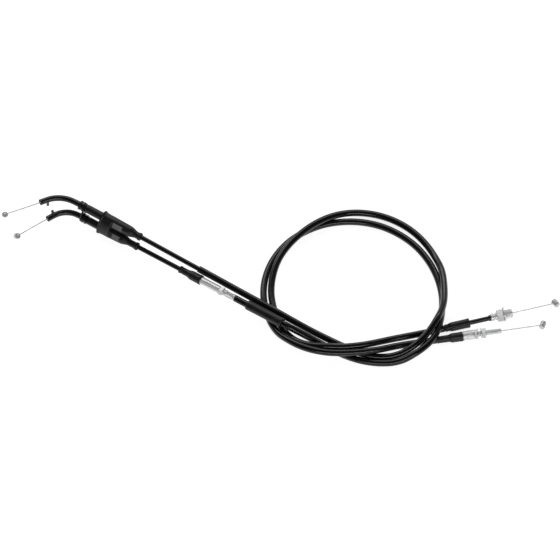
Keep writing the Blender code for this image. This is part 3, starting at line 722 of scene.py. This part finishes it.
def make_collar(side):
    """Two flanges with a deep groove between them."""
    node = f"{side}_elbow_collar"
    axis = joint_axis(f"{side}_elbow_swivel")
    start, end, radius, bore = measure(node, axis)
    edge = (end - start) * 0.36
    groove = radius - 1.0
    outer = [
        (start, radius), (start + edge, radius), (start + edge, groove),
        (end - edge, groove), (end - edge, radius), (end, radius),
    ]
    obj = revolve("fine_" + node, axis, hollow(outer, start, end, bore), sides=64)
    put(smooth(obj, bevel=0.25), node)


def make_retainer_plate():
    """The CAD plate with pressed, rounded edges."""
    node = "retainer_plate"
    obj = frame["nodes"][node]
    copy = bpy.data.objects.new("fine_" + node, obj.data.copy())
    bpy.context.scene.collection.objects.link(copy)
    tidy_mesh(copy)
    put(smooth(copy, bevel=0.3), node)


def tidy_mesh(obj):
    """Welds a CAD copy and clears the triangle edges inside its flat faces."""
    shape = bmesh.new()
    shape.from_mesh(obj.data)
    bmesh.ops.remove_doubles(shape, verts=shape.verts[:], dist=1e-6)
    bmesh.ops.dissolve_limit(
        shape, angle_limit=math.radians(1.0), verts=shape.verts[:], edges=shape.edges[:]
    )
    shape.to_mesh(obj.data)
    shape.free()


def make_throttle_ferrule(side, creased):
    """A crimped sleeve; the return cable's has a crease along it."""
    node = f"{side}_throttle_ferrule"
    axis = joint_axis(f"{side}_elbow_swivel")
    start, end, radius, bore = measure(node, axis)
    outer = [(start, radius - 0.7), (start + 1.2, radius - 0.05), (start + 1.6, radius)]
    outer += [(along, radius) for along in stations(start + 2.5, end - 3.0, 1.0)]
    outer += [(end - 1.5, radius), (end, radius - 0.6)]

    def crease(angle, along, r):
        if not creased or r < radius - 0.3:
            return r
        depth = min(1.0, max(0.0, (along - start - 3.0) / 2.0), max(0.0, (end - 4.0 - along) / 2.0))
        return r - 0.55 * depth * math.exp(-((angle - TURN * 0.17) / 0.16) ** 2)

    obj = revolve("fine_" + node, axis, hollow(outer, start, end, bore), crease, sides=64)
    put(smooth(obj, angle=45), node)


def oval(width, height):
    """Radius at an angle of a squarish oval with these half sizes, for a nominal radius of 1."""

    def shape(angle, along, r):
        across = (abs(math.cos(angle)) / width) ** BOOT_SQUARENESS
        upright = (abs(math.sin(angle)) / height) ** BOOT_SQUARENESS
        return r * (across + upright) ** (-1 / BOOT_SQUARENESS)

    return shape


def boot_body(name, outline, inset=0.0):
    shape = oval(BOOT_WIDTH - inset, BOOT_HEIGHT - inset)
    return revolve(name, BOOT_AXIS, outline, shape, sides=72)


def boot_sleeve(side, axis, mouth):
    """One outlet of the boot: round with a flat facet on top, then a beaded neck."""
    low, high, _, _ = measure("twin_boot", BOOT_AXIS)
    end = mouth + high - low - BOOT_LIP
    shoulder = mouth + BOOT_SLEEVE_ENDS[side]
    profile = [(mouth + 5.0, 0.0), (mouth + 5.0, BOOT_ROOT_R)]
    for along in stations(mouth + BOOT_BODY, shoulder, 1.0):
        share = (along - mouth - BOOT_BODY) / (shoulder - mouth - BOOT_BODY)
        profile.append((along, BOOT_ROOT_R + (BOOT_SLEEVE_R - BOOT_ROOT_R) * share))
    for t, share in ease_steps(8):
        radius = BOOT_SLEEVE_R + (BOOT_NECK_R - BOOT_SLEEVE_R) * share
        profile.append((shoulder + BOOT_NARROWING * t, radius))
    profile += [
        (end - 3.4, BOOT_NECK_R), (end - 2.8, BOOT_BEAD_R),
        (end - 0.4, BOOT_BEAD_R), (end, BOOT_BEAD_R - 0.4), (end, 0.0),
    ]

    def facet(angle, along, r):
        rise = math.sin(angle)
        if rise <= 0 or along > mouth + FACET_END:
            return r
        return min(r, FACET_HEIGHT / max(rise, 0.01))

    return revolve(f"sleeve_{side}", axis, profile, facet, sides=64)


def boolean(obj, other, operation):
    modifier = obj.modifiers.new(operation.lower(), "BOOLEAN")
    modifier.operation = operation
    modifier.solver = "EXACT"
    modifier.object = other


def bake(obj):
    """Replaces an object's mesh by its evaluated one and clears its modifiers."""
    bpy.context.view_layer.update()
    evaluated = obj.evaluated_get(bpy.context.evaluated_depsgraph_get())
    mesh = bpy.data.meshes.new_from_object(evaluated)
    obj.modifiers.clear()
    obj.data = mesh


def make_twin_boot():
    """The moulded boot: solids joined and hollowed, then remeshed so that its corners run round."""
    node = "twin_boot"
    start, end, _, _ = measure(node, BOOT_AXIS)
    mouth = start + BOOT_LIP
    body_end = mouth + BOOT_BODY
    boot = boot_body("fine_" + node, [
        (start, 0.0), (start, 1.05), (mouth + 1.3, 1.05), (mouth + 1.7, 0.985),
        (mouth + 7.0, 0.95), (body_end - 1.8, BOOT_TAPER), (body_end - 1.3, BOOT_TAPER + 0.035),
        (body_end - 0.2, BOOT_TAPER + 0.03), (body_end, BOOT_TAPER - 0.03), (body_end, 0.0),
    ])
    tools = []
    sides = (("return", RETURN_BOOT_AXIS), ("pull", PULL_BOOT_AXIS))
    for side, axis in sides:
        sleeve = boot_sleeve(side, axis, mouth)
        boolean(boot, sleeve, "UNION")
        tools.append(sleeve)
    pocket = boot_body("pocket", [
        (mouth - 2.0, 0.0), (mouth - 2.0, 1.0), (body_end - 1.3, BOOT_TAPER), (body_end - 1.3, 0.0),
    ], inset=BOOT_WALL)
    boolean(boot, pocket, "DIFFERENCE")
    tools.append(pocket)
    for side, axis in sides:
        shoulder = mouth + BOOT_SLEEVE_ENDS[side]
        bore = revolve(f"bore_{side}", axis, [
            (mouth + 5.0, 0.0), (mouth + 5.0, FERRULE_BORE), (mouth + FERRULE_BORE_END, FERRULE_BORE),
            (mouth + FERRULE_BORE_END + 1.0, SLEEVE_BORE), (shoulder - 1.0, SLEEVE_BORE),
            (shoulder + 1.0, NECK_BORE), (end + 3.0, NECK_BORE), (end + 3.0, 0.0),
        ], sides=48)
        boolean(boot, bore, "DIFFERENCE")
        tools.append(bore)
    bake(boot)
    for tool in tools:
        bpy.data.objects.remove(tool, do_unlink=True)
    remesh = boot.modifiers.new("even_skin", "REMESH")
    remesh.mode = "VOXEL"
    remesh.voxel_size = BOOT_VOXEL * MM
    relax = boot.modifiers.new("round_corners", "SMOOTH")
    relax.factor = 0.5
    relax.iterations = 5
    bake(boot)
    boot.data.shade_smooth()
    put(boot, node)
    for side, axis in sides:
        pad_start, pad_end = PADS[side]
        make_boot_pad(axis, mouth + pad_start, mouth + pad_end)


def make_boot_pad(axis, start, end):
    """A thin grip pad, set in the flat facet of one sleeve; its lighter grey is a painted reflection of the light
    on the facet.
    """
    shape = bmesh.new()
    corners = []
    for height in (PAD_HEIGHT - PAD_THICKNESS, PAD_HEIGHT):
        for along, across in (
            (start, -PAD_HALF_WIDTH), (end, -PAD_HALF_WIDTH),
            (end, PAD_HALF_WIDTH), (start, PAD_HALF_WIDTH),
        ):
            centre, side, up = axis.frame(along)
            corners.append(shape.verts.new(centre + (side * across + up * height) * MM))
    bmesh.ops.convex_hull(shape, input=corners)
    mesh = bpy.data.meshes.new("fine_twin_boot_pad")
    shape.to_mesh(mesh)
    shape.free()
    pad = bpy.data.objects.new("fine_twin_boot_pad", mesh)
    bpy.context.scene.collection.objects.link(pad)
    smooth(pad, bevel=0.3)
    # the pad's lighter grey rubber is a painted reflection of the light on the facet
    pad.data.materials.append(MATERIALS["painted_glint_rubber"])
    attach(pad, BODY_OF["twin_boot"])


# ---------------------------------------------------------------- in-line adjuster

def make_adjuster_boot():
    node = "adjuster_boot"
    start, end, radius, bore = measure(node, TAIL_AXIS)
    neck = 3.5
    outer = [(start, neck - 0.3), (start + 0.3, neck + 0.35), (start + 1.6, neck + 0.35)]
    outer += [(start + 2.0, neck), (start + 9.0, neck + 0.1)]
    for t, share in ease_steps(8):
        outer.append((start + 9.0 + 6.0 * t, neck + 0.1 + (radius - neck - 0.3) * share))
    outer += [(end - 3.2, radius - 0.15), (end - 2.9, radius), (end - 0.3, radius), (end, radius - 0.3)]
    inner = [(end, 4.4), (start + 17, 4.35), (start + 13, bore), (start, bore)]
    put(smooth(revolve("fine_" + node, TAIL_AXIS, outer + inner, sides=64), angle=50), node)


def make_barrel():
    """The adjuster's sleeve: a plain shoulder, a groove, then straight knurls along its length."""
    node = "adjuster_barrel"
    start, end, radius, bore = measure(node, TAIL_AXIS)
    body = start + 4.0
    outer = [(start, radius - 0.6), (start + 0.6, radius), (body, radius), (body + 0.1, radius - 0.4)]
    outer += [(body + 0.9, radius - 0.4), (body + 1.0, radius)]
    outer += [(along, radius) for along in stations(body + 1.6, end - 1.6, 1.0)]
    outer += [(end - 0.6, radius), (end, radius - 0.6)]
    seat = start + 10.3
    inner = [
        (end, 3.1), (seat + 2, 3.1), (seat + 2, 1.6), (seat, 1.6),
        (seat, CONDUIT_BORE), (start, CONDUIT_BORE),
    ]

    def knurl(angle, along, r):
        if r < radius - 1e-6 or not body + 1.5 < along < end - 1.5:
            return r
        return r - KNURL_DEPTH * abs(math.sin(angle * KNURLS / 2))

    put(smooth(revolve("fine_" + node, TAIL_AXIS, outer + inner, knurl, sides=112), angle=50), node)


def make_stud():
    """The threaded stud and its crimped tail, fluted where the crimping jaws pressed it."""
    node = "adjuster_stud"
    start, end, radius, bore = measure(node, TAIL_AXIS)
    rod, tail = ROD_R, measure("adjuster_lock_nut", TAIL_AXIS)[1] + 1.8
    outer = [(start, rod - 0.4)] + thread(start + 0.4, tail - 0.4, rod, ROD_PITCH) + [(tail, rod)]
    outer += [(tail, radius - 0.3), (tail + 0.3, radius), (tail + 1.6, radius)]
    outer += [(along, radius) for along in stations(tail + 2.2, end - 2.2, 0.5)]
    outer += [(end - 1.4, radius), (end - 0.3, radius), (end, radius - 0.3)]
    inner = [(end, CONDUIT_BORE), (tail + 1.2, CONDUIT_BORE), (tail + 1.2, bore), (start, bore)]
    cut = thread_shape(start + 0.4, tail - 0.4, rod, ROD_PITCH, ROD_DEPTH)

    def shape(angle, along, r):
        if abs(r - radius) > 1e-6:
            return cut(angle, along, r)
        fade = min(1.0, max(0.0, (along - tail - 1.6) / 0.6), max(0.0, (end - 1.6 - along) / 0.6))
        return r - 0.45 * fade * abs(math.sin(angle * 4))

    put(smooth(revolve("fine_" + node, TAIL_AXIS, outer + inner, shape, sides=96), angle=50), node)


def make_cover():
    """A thick rubber sleeve with rounded ends, gripped a little in its middle."""
    node = "adjuster_cover"
    start, end, radius, bore = measure(node, TAIL_AXIS)
    outer = [(start, radius - 0.8), (start + 0.25, radius - 0.25), (start + 0.9, radius)]
    outer += [(along, radius) for along in stations(start + 2.5, end - 2.5, 1.5)]
    outer += [(end - 0.9, radius), (end - 0.25, radius - 0.25), (end, radius - 0.8)]

    def waist(angle, along, r):
        if r < radius - 1e-6:
            return r
        t = (along - start) / (end - start)
        return r - 0.12 * math.sin(math.pi * t) ** 2

    obj = revolve("fine_" + node, TAIL_AXIS, hollow(outer, start, end, bore), waist, sides=64)
    put(smooth(obj, angle=50), node)


# ---------------------------------------------------------------- carburettor ends

def make_end_boot(node, axis, flare_at, neck, seam_angle):
    """A stepped boot: thin neck, quick flare, and a wide end with a seam along it."""
    start, end, radius, bore = measure(node, axis)
    flare = start + flare_at
    outer = [(start, neck - 0.3), (start + 0.3, neck + 0.2), (start + 1.5, neck + 0.2)]
    outer += [(start + 1.9, neck), (flare - 3.0, neck + 0.1)]
    for t, share in ease_steps(6):
        outer.append((flare - 3.0 + 4.0 * t, neck + 0.1 + (radius - neck - 0.25) * share))
    outer += [(along, radius - 0.15) for along in stations(flare + 2.0, end - 3.0, 1.0)]
    outer += [(end - 2.6, radius), (end - 0.4, radius), (end - 0.1, radius - 0.1), (end, radius - 0.35)]
    inner = [(end, radius - 0.7), (flare, radius - 0.8), (flare - 3.0, bore), (start, bore)]

    def seam(angle, along, r):
        if along < flare + 1.0 or r < radius - 0.2:
            return r
        return r - 0.5 * math.exp(-((angle - seam_angle) / 0.16) ** 2)

    put(smooth(revolve("fine_" + node, axis, outer + inner, seam, sides=64), angle=50), node)


def make_end_cap():
    node = "return_end_cap"
    start, end, radius, bore = measure(node, RETURN_END_AXIS)
    outer = [(start, radius - 0.35), (end - 0.8, radius - 0.1), (end, radius)]
    obj = revolve("fine_" + node, RETURN_END_AXIS, hollow(outer, start, end, bore), sides=48)
    put(smooth(obj, bevel=0.1), node)


def make_return_ferrule():
    node = "return_ferrule"
    axis = RETURN_END_AXIS
    start, end, radius, bore = measure(node, axis)
    nut_start, nose_end, _, _ = measure("return_union_nut", axis)
    neck, flare = nut_start - 0.4, nose_end + 0.3
    outer = [
        (start, radius - 0.5), (start + 0.4, radius - 0.1), (start + 2.6, radius - 0.1),
        (start + 3.1, radius - 0.9), (start + 4.3, radius - 0.9), (start + 4.8, radius),
        (neck, radius), (neck, 3.4), (flare, 3.4), (flare, radius - 0.1), (end - 0.3, radius - 0.1),
        (end, radius - 0.5),
    ]
    floor = start + 5.3
    inner = [(end, bore), (floor, bore), (floor, CONDUIT_BORE), (start, CONDUIT_BORE)]
    put(smooth(revolve("fine_" + node, axis, outer + inner, sides=64), angle=30), node)


def make_union_nut():
    """Hexagon, plain shoulder and a threaded nose."""
    node = "return_union_nut"
    axis = RETURN_END_AXIS
    start, end, corner, bore = measure(node, axis)
    flats = corner * math.sqrt(3)
    hex_end = start + UNION_HEX_LENGTH
    nose = UNION_NOSE_R
    outer = nut_outline(start, hex_end, flats)
    washer_end = measure("return_washer", axis)[1]
    outer += [(hex_end, nose - 0.2), (washer_end + 0.2, nose - 0.2)]
    outer += thread(washer_end + 0.3, end - 0.3, nose, NOSE_PITCH) + [(end, nose - 0.4)]
    inner = [(end, bore), (start, bore)]
    cut = thread_shape(washer_end + 0.3, end - 0.3, nose, NOSE_PITCH, NOSE_DEPTH)
    hexed = hexagon(flats)

    def shape(angle, along, r):
        return hexed(angle, along, r) if along <= hex_end + 1e-6 else cut(angle, along, r)

    put(smooth(revolve("fine_" + node, axis, outer + inner, shape, sides=96), angle=25), node)


def make_pull_stud():
    """Round body with a grooved collar and flutes, and the long threaded rod."""
    node = "pull_carb_stud"
    axis = PULL_END_AXIS
    start, end, radius, bore = measure(node, axis)
    body_start, body_end = start + STUD_SLEEVE, start + STUD_BODY_END
    rod = ROD_R
    outer = [(start, 3.3), (start + 0.3, 3.6), (body_start, 3.6), (body_start, radius - 0.5)]
    outer += [(body_start + 0.4, radius), (body_start + 2.4, radius), (body_start + 2.6, radius - 0.5)]
    outer += [(body_start + 3.4, radius - 0.5), (body_start + 3.6, radius)]
    outer += [(along, radius) for along in stations(body_start + 4.2, body_end - 1.0, 0.5)]
    outer += [(body_end - 0.4, radius), (body_end, radius - 0.4), (body_end, rod)]
    outer += thread(body_end + 0.1, end - 0.1, rod, ROD_PITCH) + [(end, rod - 0.5)]
    seat = start + 14.3
    inner = [(end, bore), (seat, bore), (seat, CONDUIT_BORE), (start, CONDUIT_BORE)]
    cut = thread_shape(body_end + 0.1, end - 0.1, rod, ROD_PITCH, ROD_DEPTH)

    def shape(angle, along, r):
        if abs(r - radius) > 1e-6:
            return cut(angle, along, r)
        if not body_start + 4.0 < along < body_end - 0.8:
            return r
        return r - STUD_FLUTE_DEPTH * abs(math.sin(angle * STUD_FLUTES))

    put(smooth(revolve("fine_" + node, axis, outer + inner, shape, sides=96), angle=50), node)


# ---------------------------------------------------------------- stage

def area_light(name, place, size, power):
    """A rectangular light that faces the object's middle."""
    light = bpy.data.lights.new(name, "AREA")
    light.shape = "RECTANGLE"
    light.size, light.size_y = size
    light.energy = power
    obj = bpy.data.objects.new(name, light)
    obj.location = place
    obj.rotation_euler = (-Vector(place)).to_track_quat("-Z", "Y").to_euler()
    bpy.context.scene.collection.objects.link(obj)


def colour_mix(tree, blend):
    """A node that mixes two colours: the node, its two colour inputs and its colour output."""
    node = tree.nodes.new("ShaderNodeMix")
    node.data_type = "RGBA"
    node.blend_type = blend
    first, second = [socket for socket in node.inputs if socket.type == "RGBA"]
    result = next(socket for socket in node.outputs if socket.type == "RGBA")
    return node, first, second, result


def make_world():
    """A white studio: pure white behind the object, and lit from the far side and the table."""
    world = bpy.data.worlds.new("studio")
    world.use_nodes = True
    tree = world.node_tree
    background = tree.nodes["Background"]
    place = tree.nodes.new("ShaderNodeTexCoord")
    parts = tree.nodes.new("ShaderNodeSeparateXYZ")
    tree.links.new(place.outputs["Generated"], parts.inputs["Vector"])
    sky = ramp(tree, parts.outputs["Y"], 0.0, 0.9, grey(SKY_FRONT), grey(SKY_BACK))
    depth = tree.nodes.new("ShaderNodeMath")
    depth.operation = "MULTIPLY"
    depth.inputs[1].default_value = -1.0
    tree.links.new(parts.outputs["Z"], depth.inputs[0])
    table = ramp(tree, depth.outputs["Value"], 0.0, 0.3, grey(0.0), grey(TABLE_GLOW))
    lit, colour_a, colour_b, surroundings = colour_mix(tree, "LIGHTEN")
    lit.inputs["Factor"].default_value = 1.0
    tree.links.new(sky, colour_a)
    tree.links.new(table, colour_b)
    ray = tree.nodes.new("ShaderNodeLightPath")
    choice, colour_a, colour_b, colour = colour_mix(tree, "MIX")
    tree.links.new(ray.outputs["Is Camera Ray"], choice.inputs["Factor"])
    tree.links.new(surroundings, colour_a)
    colour_b.default_value = (1.0, 1.0, 1.0, 1.0)
    tree.links.new(colour, background.inputs["Color"])
    bpy.context.scene.world = world


def make_floor():
    """A plain white table, glowing enough that only a faint shadow is left on it."""
    level = CAD_BOX[0][2] - FLOOR_GAP * MM
    corners = [(x * FLOOR_HALF, y * FLOOR_HALF, level) for x, y in ((-1, -1), (1, -1), (1, 1), (-1, 1))]
    floor = mesh_object("floor", corners, [(0, 1, 2, 3)])
    material, _, shader, _ = new_material("white_table")
    shader.inputs["Base Color"].default_value = (*grey(FLOOR_GREY), 1.0)
    shader.inputs["Roughness"].default_value = 0.8
    shader.inputs["Specular IOR Level"].default_value = 0.0
    shader.inputs["Emission Color"].default_value = (1.0, 1.0, 1.0, 1.0)
    shader.inputs["Emission Strength"].default_value = FLOOR_GLOW
    floor.data.materials.append(material)


def make_lights():
    area_light("key", KEY_PLACE, KEY_SIZE, KEY_POWER)
    area_light("fill", FILL_PLACE, FILL_SIZE, FILL_POWER)


def make_camera():
    elevation = math.radians(CAMERA_ELEVATION)
    away = Vector((0.0, -math.cos(elevation), math.sin(elevation)))
    camera = bpy.data.cameras.new("camera")
    camera.type = "ORTHO"
    camera.ortho_scale = VIEW_WIDTH * MM
    camera.clip_end = 100.0
    obj = bpy.data.objects.new("camera", camera)
    obj.location = (VIEW_CENTRE + away * CAMERA_DISTANCE) * MM
    obj.rotation_euler = (-away).to_track_quat("-Z", "Y").to_euler()
    bpy.context.scene.collection.objects.link(obj)
    bpy.context.scene.camera = obj


# ---------------------------------------------------------------- build

for tube in ("return_jacket", "pull_jacket", "return_conduit", "pull_upper_conduit", "pull_lower_conduit"):
    make_tube(tube)
for hidden in (
    "return_liner", "pull_upper_liner", "pull_lower_liner", "return_core_wire", "pull_core_wire",
):
    node_object = frame["nodes"][hidden]
    node_object.data.materials.clear()
    node_object.data.materials.append(MATERIALS[SLOT_OF[hidden]])
for side in ("return", "pull"):
    make_elbow(side)
    make_collar(side)
    make_throttle_ferrule(side, creased=side == "return")
    make_wire(side, "throttle")
    make_nipple(f"{side}_throttle_nipple")
    make_nipple(f"{side}_carb_nipple")
for side, fitting, axis in (
    ("return", "return_ferrule", RETURN_END_AXIS),
    ("pull", "pull_carb_stud", PULL_END_AXIS),
):
    wire_start = measure(f"{side}_carb_wire", axis)[0]
    make_wire(side, "carb", measure(fitting, axis)[1] - wire_start)
make_retainer_plate()
make_twin_boot()
make_adjuster_boot()
make_barrel()
make_nut("adjuster_lock_nut", TAIL_AXIS)
make_stud()
make_cover()
make_end_boot("return_carb_boot", RETURN_END_AXIS, 6.0, 3.6, TURN * 0.41)
make_end_boot("pull_carb_boot", PULL_END_AXIS, 14.5, 3.55, TURN * 0.41)
make_end_cap()
make_return_ferrule()
make_union_nut()
make_washer("return_washer", RETURN_END_AXIS)
make_pull_stud()
for nut in ("pull_inner_nut", "pull_outer_nut"):
    make_nut(nut, PULL_END_AXIS)
for washer in ("pull_inner_washer", "pull_outer_washer"):
    make_washer(washer, PULL_END_AXIS)
make_world()
make_floor()
make_lights()
make_camera()
bpy.context.scene.view_settings.view_transform = "Standard"
